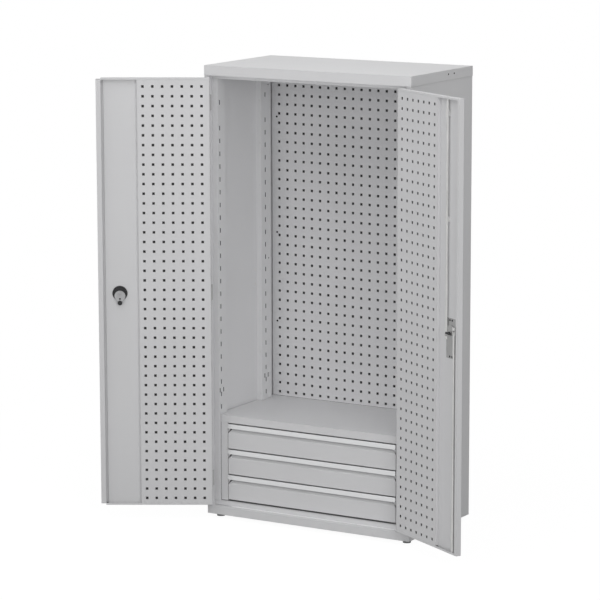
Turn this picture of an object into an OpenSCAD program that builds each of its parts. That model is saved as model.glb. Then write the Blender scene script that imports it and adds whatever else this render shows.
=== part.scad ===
// Tall steel tool cabinet: perforated double doors, perforated back panel and a
// three-drawer unit. The doors stand open as drawn.
// Origin: middle of the footprint on the floor. +Z up, -Y is the front, millimetres.

/* [Cabinet] */
// Overall width over the top cover
cabinet_w = 915; // [860:5:1000]
// Overall depth over the top cover
cabinet_d = 500; // [480:5:600]
// Overall height from the floor to the top of the cover
cabinet_h = 1800; // [1500:10:2100]
// Thickness of the folded body sheet
sheet_t = 1.2; // [0.8:0.1:1.5]
// Gap between two sheets that lie on each other
sheet_fit = 0.2; // [0.1:0.05:0.3]

/* [Top cover] */
// Thickness of the cover sheet
cover_t = 1.5; // [1:0.1:2]
// Height of the skirt of the cover
cover_skirt = 39; // [35:1:45]
// Outer radius of the upright corners of the cover
cover_corner_r = 2.5; // [1:0.5:5]
// Gap between the skirt of the cover and the body
cover_fit = 0.3; // [0.2:0.1:0.5]
// Distance of the first skirt screw from the front
cover_screw_front = 296; // [200:1:330]
// Distance between the two skirt screws on a side
cover_screw_pitch = 47; // [30:1:80]
// Height of the skirt screws below the top
cover_screw_drop = 16; // [10:1:25]
// Shank diameter of the skirt screws
cover_screw_d = 4; // [3:0.5:5]
// Head diameter of the skirt screws
cover_screw_head_d = 7; // [6:0.5:9]
// Height of the heads of the skirt screws over the skirt
cover_screw_head_h = 1.6; // [1:0.1:3]

/* [Door opening] */
// Width of the upright front strip beside each door
strip_w = 20.5; // [18:0.5:25]
// Depth from the front of the cover to the door stops
stop_depth = 27; // [26:0.5:30]
// Distance from the top of the cover down to the lower edge of the top rail
top_rail_drop = 52.5; // [50:0.5:60]
// Depth of the lower flange of the top rail
top_rail_flange = 24; // [15:1:30]
// Height of the front band of the base
base_band_h = 32; // [28:1:40]
// Height of the door stop above the sill of the base
base_riser_h = 18; // [15:1:24]
// Width of the inward flanges of the base frame
base_flange = 25; // [22:1:30]

/* [Posts] */
// Thickness of the post sheet
post_t = 1.5; // [1.2:0.1:2]
// How far the posts stand inwards from the side liners
post_w = 24.5; // [20:0.5:30]
// Length of a front post along the depth
front_post_d = 53; // [48:1:60]
// Length of a rear upright along the depth
rear_post_d = 71; // [66:1:80]
// Distance from the back of the cover to the back of a rear upright
rear_post_back = 79; // [72:1:110]
// Height of a shelf slot
slot_h = 18; // [14:1:22]
// Width of a shelf slot
slot_w = 6; // [3:0.5:7]
// Pitch of the shelf slots
slot_pitch = 50.35; // [48:0.05:54]
// Distance from the top of the cover to the middle of the first shelf slot
slot_top_drop = 146; // [120:1:170]
// Distance from the front of a front post to its column of slots
front_slot_inset = 14.5; // [12:0.5:24]
// Distance from the front of a rear upright to its column of slots
rear_slot_inset = 31; // [24:1:40]
// Height above the shelf of the side pair of slots
slot_pair_rise = 98; // [80:1:120]
// Distance of the nearer pair slot from its column
slot_pair_near = 9.5; // [8:0.5:12]
// Distance of the farther pair slot from its column
slot_pair_far = 16.5; // [12:0.5:20]
// Diameter of the two round holes in a rear upright
upright_hole_d = 6; // [4:0.5:8]
// Distance of those holes behind the rear column of slots
upright_hole_offset = 24; // [16:1:28]
// Distance from the top of the cover to the upper of those holes
upright_hole_drop = 108; // [80:1:140]
// Distance from the top of the cover to the lower of those holes
upright_hole_low = 809; // [600:1:1000]

/* [Joining holes] */
// Diameter of the holes that join two cabinets side by side
joining_hole_d = 5; // [4:0.5:8]
// Distance from the front of the cover to the first joining hole
joining_hole_front = 113; // [100:1:140]
// Distance between the joining holes along the depth
joining_hole_run = 228; // [150:1:235]
// Height of the lower joining holes
joining_hole_z = 892.5; // [700:0.5:1100]
// Distance between the joining holes along the height
joining_hole_rise = 56.5; // [40:0.5:80]

/* [Perforation] */
// Side of a square hole
hole_w = 10; // [8:0.5:12]
// Pitch of the square holes
hole_pitch = 38; // [36:1:40]
// Thickness of the perforated sheets
panel_t = 1.2; // [1:0.1:2]

/* [Back] */
// Distance from the back of the cover to the front of the perforated back panel
back_panel_depth = 32.6; // [25:0.2:45]
// Gap between the perforated back panel and a side liner
back_panel_side_gap = 4.5; // [3:0.5:8]
// Distance from the top of the cover to the first row of holes
back_row_drop = 114.7; // [105:0.1:125]
// Distance from the top of the cover to the upper edge of the back panel
back_panel_drop = 60; // [56:1:70]
// Gap between the back panel and the shelf below it
back_panel_lift = 0.8; // [0.4:0.1:2]
// Least distance from the last row of holes to the edge of the back panel
back_row_margin = 15; // [10:1:20]
// Distance of a back panel screw from the edge of the panel
back_screw_inset = 22.5; // [15:0.5:26]
// Heads of the back panel screws: diameter
back_screw_head_d = 8; // [6:0.5:10]
// Height of the heads of the back panel screws
back_screw_head_h = 2.2; // [1.2:0.1:3]
// Shanks of the back panel screws: diameter
back_screw_d = 4; // [3:0.5:5]
// Width of the front flange of a back panel bracket
bracket_flange = 27; // [22:1:27]
// Width of the rear flange of a back panel bracket
bracket_foot = 24; // [15:1:35]

/* [Doors] */
// Thickness of a door
door_t = 21; // [20:0.5:23]
// Gap between a door and the front strip beside it
door_side_gap = 2.2; // [2.1:0.1:2.6]
// Gap between the two doors
door_mid_gap = 3; // [2:0.5:5]
// Where the doors meet, to the right of the middle
door_meet_x = 7.1; // [0:0.1:15]
// Gap above the doors, up to the skirt of the cover
door_top_gap = 5.7; // [4:0.1:8]
// Gap below the doors, down to the sill
door_bottom_gap = 11.3; // [8:0.1:14]
// Angle by which the doors stand open as drawn
door_rest_angle = 150; // [0:5:175]
// Width of the flange along the free edge of the left door
left_rim_w = 19.5; // [12:0.5:24]
// Width of the flange along the free edge of the right door
right_rim_w = 14; // [12:0.5:24]
// Width of the flanges along the top and bottom of a door
end_rim_w = 8; // [6:0.5:12]
// How much shorter the free edge of the left door is at each end
left_edge_notch = 6; // [2:0.5:8]
// Distance from the free edge of the left door to its perforated panel
left_band_w = 159.4; // [140:0.2:180]
// Distance from the free edge of the right door to its perforated panel
right_band_w = 145.2; // [130:0.2:165]
// Distance from the hinged edge of a door to its first column of holes
door_col_inset = 30.9; // [20:0.1:33]
// Distance from the top of a door to its first row of holes
door_row_drop = 33.7; // [25:0.1:45]
// Depth of the recess that holds the lock parts
recess_depth = 12; // [11.5:0.5:13]
// Width of the open groove beside the rim of the free edge
groove_w = 8.5; // [6:0.5:12]
// Depth of that groove below the floor of the recess
groove_depth = 3; // [1:0.5:4]

/* [Hinges] */
// Diameter of a hinge barrel
barrel_d = 10; // [9:0.5:10]
// Diameter of a hinge pin
pin_d = 6; // [4:0.5:6.5]
// Radial clearance of a hinge pin
pin_clear = 0.05; // [0.03:0.01:0.1]
// Height of a hinge
hinge_h = 62; // [50:1:80]
// Gap between a hinge barrel and the face of the door
barrel_gap = 0.45; // [0.4:0.05:0.8]
// Distance of the hinge axis from the hinged edge of a door
hinge_inset = 3.5; // [3:0.1:4]
// Distance from each end of a door to the middle of its outer hinges
hinge_end = 100; // [70:5:160]
// Thickness of a hinge leaf
leaf_t = 1.5; // [1.2:0.1:1.6]
// Width of the leaf on the front face of the door
door_leaf_w = 22; // [16:1:30]
// Width of the leaf on the jamb
frame_leaf_w = 19; // [14:1:21]

/* [Left door lock] */
// Height of the lock of the left door
lock_z = 909; // [750:1:1050]
// Distance of the lock from the free edge
lock_edge = 83.4; // [76:0.2:100]
// Diameter of the inner ring of the lock housing
lock_ring_d = 59; // [54:1:64]
// Height of the inner ring over the recess
lock_ring_h = 4; // [3:0.5:5]
// Diameter of the housing where it passes through the door
lock_neck_d = 48; // [44:1:50]
// Diameter of the outer rose
lock_rose_d = 66; // [60:1:72]
// Thickness of the outer rose
lock_rose_t = 3; // [2:0.5:5]
// Diameter of the knob
knob_d = 46; // [40:1:54]
// Width of the grip bar across the knob
knob_bar_w = 22; // [16:1:28]
// Length of the knob in front of the rose
knob_l = 17; // [12:1:24]
// Diameter of the spindle that joins knob and cam
spindle_d = 16; // [15.5:0.5:18]
// Diameter of the cam disc
cam_d = 43; // [38:1:46]
// How far the cam disc hangs below the spindle
cam_drop = 11; // [8:0.5:12]
// Diameter of the small hole in the cam disc
cam_hole_d = 7; // [4:0.5:8]
// Width of the rounded tip of the cam
cam_tip_d = 14; // [10:1:16]
// Thickness of the cam
cam_t = 3; // [2:0.5:4]
// Distance from the spindle to the cam roller
cam_reach = 38; // [34:1:42]
// Diameter of the cam roller
roller_d = 18; // [12:1:20]
// Thickness of the cam roller
roller_t = 3.5; // [2:0.5:4]
// Diameter of the key cylinder
cylinder_d = 13; // [11:0.5:15]
// Running clearance of the turning lock parts, radial
lock_clear = 0.08; // [0.03:0.01:0.1]

/* [Right door bolts] */
// Height of the bolt drive of the right door
bolt_z = 888; // [750:1:1050]
// Distance of the bolt drive from the free edge
bolt_edge = 60.2; // [58:0.2:90]
// Distance of each rod from the middle of the drive
rod_offset = 26; // [22:0.5:26.5]
// Width of a bolt rod
rod_w = 11; // [8:0.5:13]
// Thickness of a bolt rod
rod_t = 3; // [2:0.5:3.5]
// Angle through which the drive turns
drive_turn = 50; // [30:1:60]
// How far the retracted rods end inside the door
rod_inset = 2; // [1:0.5:5]
// Distance of the outer rod guides from the ends of the door
guide_end = 60; // [40:5:150]
// Distance of the inner rod guides from the bolt drive
guide_reach = 420; // [200:10:500]
// Height of a rod guide
guide_h = 20; // [12:1:40]
// Width of the base plate
base_plate_w = 64; // [60:1:66]
// Height of the base plate
base_plate_h = 150; // [120:1:180]
// How far the middle of the base plate lies below the drive
base_plate_drop = 20; // [0:1:30]
// Thickness of the base plate
base_plate_t = 2; // [1.5:0.5:2.5]
// Thickness of the drive disc
drive_t = 2.5; // [2:0.5:3]
// Diameter of the drive disc
drive_d = 62; // [60:1:66]
// Diameter of the pins that push the rods
drive_pin_d = 6; // [4:0.5:7]
// Play of those pins in the rods, radial
drive_pin_play = 0.45; // [0.3:0.05:0.6]
// Diameter of the pivot of the drive
pivot_d = 8; // [6:0.5:10]
// Length of the grip bar
grip_l = 34; // [26:1:50]
// Height of the grip bar
grip_h = 8; // [6:0.5:12]
// Diameter of the stem of the grip
grip_stem_d = 12; // [10:1:18]
// How far the grip stands out of the door
grip_out = 6; // [2:0.5:7]

/* [Drawer unit] */
// Depth from the front of the cover to the front of the drawer unit
unit_depth = 35; // [34:0.5:40]
// Height of the shelf that covers the drawer unit
shelf_z = 414.5; // [380:0.5:470]
// Height of the front lip of the shelf
shelf_lip = 30; // [24:1:36]
// Gap between the shelf and the posts beside it
shelf_side_gap = 1.8; // [0.5:0.1:2.5]
// Gap between the shelf and the side liners, between the posts
shelf_wall_gap = 4.5; // [2:0.5:6]
// Depth of the ties that join the two sides of the drawer unit
unit_tie_d = 40; // [30:1:60]
// Width of an upright of the drawer unit front
stile_w = 30; // [26:1:34]
// Number of drawers
drawers = 3; // [3:1:3]
// Gap round a drawer front
drawer_gap = 2; // [1.5:0.1:3]
// Height of the finger recess above the flat of a drawer front
finger_h = 17; // [14:1:20]
// Depth of the finger recess
finger_d = 14; // [10:1:16]
// Height of the handle profile
handle_h = 18; // [16:1:22]
// How far the handle profile stands in front of the drawer
handle_out = 5; // [2:0.5:6]
// Wall of the handle profile
handle_t = 2; // [1.5:0.5:3]
// Height of a drawer box
box_h = 78; // [68:1:84]
// Wall of a drawer box
box_t = 1; // [0.8:0.1:1.5]
// How much shorter a drawer box is than its rails
box_short = 5; // [2:1:40]
// Width of the cut in the upper corners of a drawer front
corner_cut_w = 16; // [8:1:20]
// Height of that cut, below the handle
corner_cut_h = 23; // [12:1:30]

/* [Drawer rails] */
// Gap between the rails and the back panel
rail_back_gap = 17; // [5:1:60]
// Height of an outer rail
rail_h = 45; // [35:1:52]
// Width taken by a set of rails beside a drawer
rail_w = 13; // [12:0.2:14]
// Wall of a rail
rail_t = 1.2; // [1:0.1:1.5]
// Running gap between two rails
rail_gap = 0.4; // [0.3:0.1:0.6]

/* [Feet] */
// Gap between the floor and the carcass
foot_h = 16; // [14:1:24]
// Diameter of a foot pad
pad_d = 32; // [28:1:40]
// Height of a foot pad
pad_h = 10; // [8:0.5:11]
// Distance of a foot from the side of the cover
foot_side = 35.5; // [33:0.5:40]
// Distance of a foot from the front or back of the cover
foot_end = 47; // [38:1:60]
// Diameter of the foot stud
stud_d = 10; // [8:1:12]
// Width across the flats of the stud hexagon
stud_hex = 17; // [15:1:20]
// Side of the plate that holds a foot
foot_plate_w = 56; // [50:1:60]
// Thickness of the plate that holds a foot
foot_plate_t = 3; // [2:0.5:4]

/* [Hidden] */
$fn = 48;
eps = 0.01;

paint = [0.75, 0.76, 0.77];
zinc = [0.80, 0.80, 0.79];
alu = [0.87, 0.88, 0.89];
black = [0.10, 0.10, 0.11];
grey = [0.45, 0.46, 0.47];

// Body planes
front_y = -cabinet_d / 2;
back_y = cabinet_d / 2;
body_inset = cover_t + cover_fit;
body_x = cabinet_w / 2 - body_inset;
body_front = front_y + body_inset;
body_back = back_y - body_inset;
body_top = cabinet_h - cover_t - cover_fit;
skin_in_x = body_x - sheet_t;
back_skin_y = body_back - sheet_t;
stop_y = front_y + stop_depth;
jamb_x = cabinet_w / 2 - strip_w;
post_x = jamb_x - post_w;
sill_z = foot_h + base_band_h;
riser_z = sill_z + base_riser_h;
rail_edge_z = cabinet_h - top_rail_drop;

// Doors, closed
door_z0 = sill_z + door_bottom_gap;
door_z1 = cabinet_h - cover_skirt - door_top_gap;
door_h = door_z1 - door_z0;
hinge_edge_x = jamb_x - door_side_gap;
left_door_w = hinge_edge_x + door_meet_x - door_mid_gap / 2;
right_door_w = hinge_edge_x - door_meet_x - door_mid_gap / 2;
lock_x = left_door_w - lock_edge;
bolt_x = right_door_w - bolt_edge;
barrel_r = barrel_d / 2;
axis_x = hinge_edge_x - hinge_inset;
axis_y = front_y - barrel_gap - barrel_r;
door_row_margin = end_rim_w + hole_w;
door_rows = floor((door_h - door_row_drop - door_row_margin) / hole_pitch) + 1;
hinge_z = [door_z0 + hinge_end, (door_z0 + door_z1) / 2, door_z1 - hinge_end];

// Back panel
back_panel_y = back_y - back_panel_depth;
back_panel_w = 2 * (jamb_x - back_panel_side_gap);
back_panel_z0 = shelf_z + back_panel_lift;
back_panel_z1 = cabinet_h - back_panel_drop;
back_row_z = cabinet_h - back_row_drop;
back_cols = floor((back_panel_w - 4 * hole_w) / hole_pitch) + 1;
back_rows = floor((back_row_z - back_panel_z0 - back_row_margin) / hole_pitch) + 1;
back_screw_x = back_panel_w / 2 - back_screw_inset;
back_screw_rows = [3.35, 15.7, 25.3];

// Screws: gap under a head, reach behind the sheets and play in their holes
head_seat = 0.05;
cover_screw_reach = 5;
cover_screw_play = 0.2;
back_screw_reach = 8;
back_screw_play = 0.3;
back_screw_grip = 0.1;

// Rear uprights and shelf slots
rear_post_y = back_y - rear_post_back - rear_post_d;
front_slot_y = stop_y + front_slot_inset;
rear_slot_y = rear_post_y + rear_slot_inset;
slots = floor((cabinet_h - slot_top_drop - shelf_z - slot_h) / slot_pitch) + 1;

// Drawer unit
unit_y = front_y + unit_depth;
unit_x = post_x - shelf_side_gap;
opening_x = unit_x - stile_w;
floor_z = riser_z + sheet_fit;
unit_z0 = floor_z + sheet_t + sheet_fit;
unit_z1 = shelf_z - shelf_lip;
unit_back = back_panel_y - sheet_fit - sheet_t;
wide_x = jamb_x - shelf_wall_gap;
front_w = 2 * (opening_x - drawer_gap);
box_w = 2 * (opening_x - rail_w);
tie_h = 2.2;
bays_z0 = unit_z0 + tie_h + drawer_gap;
bays_z1 = unit_z1 - drawer_gap;
drawer_pitch = (bays_z1 - bays_z0) / drawers;
front_h = drawer_pitch - 2 * drawer_gap;
box_lift = 5;
rail_seat = 0.05;
box_y0 = unit_y + finger_d + sheet_t + sheet_fit;
rail_l = back_panel_y - rail_back_gap - box_y0;
box_l = rail_l - box_short;
middle_h = rail_h - 2 * rail_t - 2 * rail_gap;
inner_h = middle_h - 2 * rail_t - 2 * rail_gap;

// Bolt drive
drive_gap = 0.3;
port_play = 1.5;
door_port_play = 0.6;
hub_wall = 6;
recess_y = door_t - recess_depth;
plate_y = recess_y + base_plate_t;
disc_y = plate_y + drive_gap;
rod_y = disc_y + drive_t + drive_gap;
pin_top_y = rod_y + rod_t + drive_gap;

module on_side(side) {
    mirror([side < 0 ? 0 : 1, 0, 0]) children();
}

module both_sides() {
    for (side = [-1, 1]) on_side(side) children();
}

module block(x0, x1, y0, y1, z0, z1) {
    translate([x0, y0, z0]) cube([x1 - x0, y1 - y0, z1 - z0]);
}

module rounded_plan(w, d, r) {
    square([w - 2 * r, d], center = true);
    square([w, d - 2 * r], center = true);
    for (sx = [-1, 1])
        for (sy = [-1, 1])
            translate([sx * (w / 2 - r), sy * (d / 2 - r)]) circle(r);
}

// A grid of square holes in a sheet that stands in the XZ plane
module hole_grid(x0, z_top, cols, rows) {
    for (c = [0 : cols - 1])
        for (r = [0 : rows - 1])
            translate([x0 + c * hole_pitch, z_top - r * hole_pitch])
                square(hole_w, center = true);
}

// A flat sheet in the XZ plane, from y0 towards +Y, with 2D children cut out
module upright_sheet(x0, x1, z0, z1, y0, t) {
    translate([0, y0 + t, 0]) rotate([90, 0, 0]) linear_extrude(t) difference() {
        translate([x0, z0]) square([x1 - x0, z1 - z0]);
        children();
    }
}

// A 2D section drawn in the YZ plane, run along X
module along_x(x0, x1) {
    translate([x0, 0, 0]) rotate([90, 0, 90]) linear_extrude(x1 - x0) children();
}

module round_y(d, y0, y1) {
    translate([0, y1, 0]) rotate([90, 0, 0]) cylinder(d = d, h = y1 - y0);
}

module round_x(d, x0, x1) {
    translate([x0, 0, 0]) rotate([0, 90, 0]) cylinder(d = d, h = x1 - x0);
}

// ---------- Carcass ----------

module screw_places() {
    for (n = [0, 1])
        translate([0, front_y + cover_screw_front + n * cover_screw_pitch,
                   cabinet_h - cover_screw_drop]) children();
}

module top_cover() {
    color(paint) difference() {
        translate([0, 0, cabinet_h - cover_skirt]) linear_extrude(cover_skirt)
            rounded_plan(cabinet_w, cabinet_d, cover_corner_r);
        translate([0, 0, cabinet_h - cover_skirt - 1]) linear_extrude(cover_skirt - cover_t + 1)
            rounded_plan(cabinet_w - 2 * cover_t, cabinet_d - 2 * cover_t,
                         cover_corner_r - cover_t + eps);
        screw_places() round_x(cover_screw_d + 2 * cover_screw_play, -cabinet_w, cabinet_w);
    }
}

module cover_screws() {
    color(black) both_sides() screw_places() {
        round_x(cover_screw_head_d, -cabinet_w / 2 - cover_screw_head_h,
                -cabinet_w / 2 - head_seat);
        round_x(cover_screw_d, -cabinet_w / 2 - 2 * head_seat, -skin_in_x + cover_screw_reach);
    }
}

// Where the two bolt rods pass, seen from above with the right door closed
module rod_ports(z0, z1, rod_side) {
    translate([hinge_edge_x - bolt_x - rod_side * rod_offset, front_y + rod_y + rod_t / 2, z0])
        translate([-rod_w / 2 - port_play, -rod_t / 2 - port_play, 0])
            cube([rod_w + 2 * port_play, rod_t + 2 * port_play, z1 - z0]);
}

module top_rail() {
    ledge_z = cabinet_h - cover_skirt + 2;
    x1 = jamb_x - sheet_fit;
    color(paint) difference() {
        union() {
            block(-x1, x1, stop_y, stop_y + sheet_t, rail_edge_z, body_top - sheet_fit);
            block(-x1, x1, stop_y, stop_y + top_rail_flange, rail_edge_z, rail_edge_z + sheet_t);
            block(-x1, x1, body_front + cover_fit, stop_y + sheet_t, ledge_z, ledge_z + sheet_t);
        }
        rod_ports(ledge_z - 1, ledge_z + 3, -1);
    }
}

module base_frame() {
    x1 = skin_in_x - sheet_fit;
    y0 = body_front;
    y1 = back_skin_y - sheet_fit;
    flange_top = sill_z - sheet_t;
    riser_x = jamb_x - sheet_fit;
    color(paint) difference() {
        union() {
            block(-body_x, body_x, y0, y0 + sheet_t, foot_h, sill_z);
            block(-x1, x1, y0, y1, foot_h, sill_z);
            block(-riser_x, riser_x, stop_y, stop_y + sheet_t, sill_z - sheet_t, riser_z);
            block(-body_x, body_x, y0, stop_y + sheet_t, flange_top, sill_z);
        }
        block(-x1 + sheet_t, x1 - sheet_t, y0 + sheet_t, y1 - sheet_t,
              foot_h + sheet_t, flange_top);
        block(-x1 + base_flange, x1 - base_flange, y0 + base_flange, y1 - base_flange,
              foot_h - 1, sill_z + 1);
        block(-body_x - 1, -x1, y0 + sheet_t, stop_y + sheet_t + 1, foot_h - 1, sill_z + 1);
        block(x1, body_x + 1, y0 + sheet_t, stop_y + sheet_t + 1, foot_h - 1, sill_z + 1);
        rod_ports(flange_top - 1, sill_z + 1, 1);
    }
}

module floor_plate() {
    x1 = jamb_x - sheet_t - sheet_fit;
    y0 = stop_y + sheet_t + sheet_fit;
    y1 = back_skin_y - sheet_fit;
    color(paint) {
        block(-x1, x1, stop_y, y1, floor_z, floor_z + sheet_t);
        for (sx = [-1, 1])
            block(sx * x1 - (sx > 0 ? sheet_t : 0), sx * x1 + (sx > 0 ? 0 : sheet_t),
                  y0, y1, sill_z + sheet_fit, floor_z + eps);
        block(-x1, x1, y1 - sheet_t, y1, sill_z + sheet_fit, floor_z + eps);
    }
}

module joining_holes() {
    for (n = [0, 1])
        for (m = [0, 1])
            translate([0, front_y + joining_hole_front + n * joining_hole_run,
                       joining_hole_z + m * joining_hole_rise])
                round_x(joining_hole_d, -cabinet_w, 0);
}

// Outer sheet of a side, folded round the front into the strip and the jamb
module side_skin(side) {
    strip_z = sill_z + sheet_fit;
    y1 = body_back;
    color(paint) on_side(side) difference() {
        union() {
            block(-body_x, -skin_in_x, body_front + sheet_t + sheet_fit, y1, foot_h, body_top);
            block(-body_x, -skin_in_x, body_front, y1, strip_z, body_top);
            block(-body_x, -jamb_x, body_front, body_front + sheet_t, strip_z, body_top);
            block(-jamb_x - sheet_t, -jamb_x, body_front, stop_y - sheet_fit, strip_z, body_top);
            block(-skin_in_x - eps, -jamb_x, back_skin_y - sheet_fit - sheet_t,
                  back_skin_y - sheet_fit, strip_z, body_top);
        }
        joining_holes();
        screw_places() round_x(cover_screw_d + 2 * cover_screw_play, -cabinet_w, 0);
    }
}

module side_liners() {
    color(paint) both_sides() difference() {
        block(-jamb_x - sheet_t, -jamb_x, stop_y, back_skin_y - 2 * sheet_fit - sheet_t,
              sill_z + sheet_fit, body_top);
        joining_holes();
    }
}

// Column of shelf slots: one slot, a gap, then one slot at each pitch
module slot_column(y) {
    for (n = [0 : slots - 1])
        if (n != 1)
            translate([-post_x - 3, y - slot_w / 2,
                       cabinet_h - slot_top_drop - n * slot_pitch - slot_h / 2])
                cube([6, slot_w, slot_h]);
    for (off = [-slot_pair_near, slot_pair_far])
        translate([-post_x - 3, y + off - slot_w / 2,
                   shelf_z + slot_pair_rise - slot_h / 2])
            cube([6, slot_w, slot_h]);
}

// Channel that stands on a side liner, open towards the liner
module post(y0, d, slot_y) {
    z0 = floor_z + sheet_t + sheet_fit;
    z1 = rail_edge_z - sheet_fit;
    x0 = -jamb_x + sheet_fit;
    difference() {
        block(x0, -post_x, y0, y0 + d, z0, z1);
        block(x0 - 1, -post_x - post_t, y0 + post_t, y0 + d - post_t, z0 - 1, z1 + 1);
        slot_column(slot_y);
    }
}

module front_posts() {
    color(paint) both_sides() post(stop_y, front_post_d, front_slot_y);
}

module rear_uprights() {
    color(paint) both_sides() difference() {
        post(rear_post_y, rear_post_d, rear_slot_y);
        for (drop = [upright_hole_drop, upright_hole_low])
            translate([0, rear_slot_y + upright_hole_offset, cabinet_h - drop])
                round_x(upright_hole_d, -post_x - 3, -post_x + 3);
    }
}

module back_skin() {
    x1 = skin_in_x - sheet_fit;
    color(paint) block(-x1, x1, back_skin_y, body_back, foot_h, body_top);
}

// ---------- Back panel ----------

module back_screw_places() {
    for (sx = [-1, 1])
        for (row = back_screw_rows)
            translate([sx * back_screw_x, 0, back_row_z - row * hole_pitch]) children();
}

module back_perforated_panel() {
    color(paint) difference() {
        upright_sheet(-back_panel_w / 2, back_panel_w / 2, back_panel_z0, back_panel_z1,
                      back_panel_y, panel_t)
            hole_grid(-(back_cols - 1) / 2 * hole_pitch, back_row_z, back_cols, back_rows);
        back_screw_places()
            round_y(back_screw_d + 2 * back_screw_play, back_panel_y - 1, back_panel_y + 3);
    }
}

module back_panel_brackets() {
    x0 = -back_panel_w / 2;
    y0 = back_panel_y + panel_t + sheet_fit;
    y1 = back_skin_y - sheet_fit;
    web_x = x0 + bracket_flange;
    color(paint) both_sides() difference() {
        union() {
            block(x0, web_x, y0, y0 + sheet_t, back_panel_z0, back_panel_z1);
            block(web_x - sheet_t, web_x, y0, y1, back_panel_z0, back_panel_z1);
            block(web_x - sheet_t, web_x + bracket_foot, y1 - sheet_t, y1,
                  back_panel_z0, back_panel_z1);
        }
        back_screw_places() round_y(back_screw_d + 2 * back_screw_grip, y0 - 1, y0 + 3);
    }
}

module back_panel_screws() {
    color(black) back_screw_places() {
        round_y(back_screw_head_d, back_panel_y - back_screw_head_h, back_panel_y - head_seat);
        round_y(back_screw_d, back_panel_y - 2 * head_seat, back_panel_y + back_screw_reach);
    }
}

// ---------- Feet ----------

module foot_places() {
    for (sx = [-1, 1])
        for (sy = [-1, 1])
            translate([sx * (cabinet_w / 2 - foot_side), sy * (cabinet_d / 2 - foot_end), 0])
                children();
}

plate_z = foot_h + sheet_t + sheet_fit;
boss_h = 9;
boss_wall = 4.5;
stud_seat = 4;
stud_rise = 4;

module foot_plates() {
    color(zinc) foot_places() difference() {
        union() {
            translate([-foot_plate_w / 2, -foot_plate_w / 2, plate_z])
                cube([foot_plate_w, foot_plate_w, foot_plate_t]);
            translate([0, 0, plate_z]) cylinder(d = stud_d + 2 * boss_wall, h = foot_plate_t + boss_h);
        }
        translate([0, 0, plate_z - 1])
            cylinder(d = stud_d + 2 * pin_clear, h = foot_plate_t + boss_h + 2);
    }
}

module foot_studs() {
    hex_z = pad_h + 0.1;
    color(zinc) foot_places() {
        translate([0, 0, pad_h - stud_seat])
            cylinder(d = stud_d, h = plate_z + foot_plate_t + boss_h + stud_rise - pad_h + stud_seat);
        translate([0, 0, hex_z])
            cylinder(d = stud_hex / cos(30), h = foot_h - hex_z - 0.4, $fn = 6);
    }
}

module foot_pads() {
    rim = 2;
    color(grey) foot_places() difference() {
        rotate_extrude() polygon([
            [0, 0], [pad_d / 2, 0], [pad_d / 2, pad_h - 2 * rim],
            [pad_d / 2 - 3 * rim, pad_h], [0, pad_h]
        ]);
        translate([0, 0, pad_h - stud_seat - sheet_fit]) cylinder(d = stud_d + 2 * pin_clear, h = 10);
    }
}

// ---------- Hinges ----------

half_gap = 0.3;

module frame_hinge_places() {
    for (z = hinge_z) translate([-axis_x, axis_y, z]) children();
}

// Jamb leaf with the lower half of the barrel
module hinge_frame_leaves() {
    leaf_x = axis_x - jamb_x + sheet_fit;
    leaf_y = front_y - axis_y;
    color(zinc) both_sides() frame_hinge_places() difference() {
        union() {
            translate([leaf_x, leaf_y, -hinge_h / 2]) cube([leaf_t, frame_leaf_w, hinge_h]);
            translate([leaf_x, 0, -hinge_h / 2]) cube([leaf_t, leaf_y + 1, hinge_h / 2 - half_gap]);
            translate([leaf_x, 0, -hinge_h / 2]) cube([-leaf_x, leaf_t, hinge_h / 2 - half_gap]);
            translate([0, 0, -hinge_h / 2]) cylinder(r = barrel_r, h = hinge_h / 2 - half_gap);
        }
        translate([0, 0, -hinge_h]) cylinder(d = pin_d + 2 * pin_clear, h = 2 * hinge_h);
    }
}

module hinge_pins() {
    head_t = 1.5;
    color(zinc) both_sides() frame_hinge_places() {
        translate([0, 0, -hinge_h / 2 - 0.4]) cylinder(d = pin_d, h = hinge_h + 0.9);
        translate([0, 0, hinge_h / 2 + half_gap]) cylinder(d = barrel_d - 1, h = head_t);
        translate([0, 0, -hinge_h / 2 - half_gap - head_t])
            cylinder(d = barrel_d - 1, h = head_t + 0.25);
    }
}

// ---------- Doors ----------

// Puts a door drawn from its hinged edge (x = 0), outer face (y = 0) in its open place
module hang(side, angle = door_rest_angle) {
    on_side(side)
        translate([-axis_x, axis_y, 0]) rotate([0, 0, -angle])
            translate([-hinge_inset, front_y - axis_y, 0]) children();
}

module door_skin(w, rim, notch, lock_hole, rods) {
    rim_y = door_t - sheet_t;
    difference() {
        block(0, w, 0, door_t, door_z0, door_z1);
        block(sheet_t, w - sheet_t, sheet_t, rim_y, door_z0 + sheet_t, door_z1 - sheet_t);
        block(sheet_t, w - rim, rim_y - 1, door_t + 1, door_z0 + end_rim_w, door_z1 - end_rim_w);
        if (notch > 0)
            for (z = [door_z0 - notch, door_z1 - notch])
                block(w - rim, w + 1, -1, door_t + 1, z, z + 2 * notch);
        if (lock_hole)
            translate([lock_x, 0, lock_z]) round_y(lock_neck_d + 0.6, -1, sheet_t + 1);
        if (rods)
            for (s = [-1, 1])
                translate([bolt_x + s * rod_offset, rod_y + rod_t / 2,
                           s < 0 ? door_z1 - 3 : door_z0 - 3])
                    translate([-rod_w / 2 - door_port_play, -rod_t / 2 - door_port_play, 0])
                        cube([rod_w + 2 * door_port_play, rod_t + 2 * door_port_play, 6]);
    }
    if (notch > 0) {
        for (z = [door_z0 + notch, door_z1 - notch - sheet_t])
            block(w - rim - sheet_t, w, 0, door_t, z, z + sheet_t);
        for (z = [door_z0, door_z1 - notch])
            block(w - rim - sheet_t, w - rim, 0, door_t, z, z + notch);
    }
}

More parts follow.
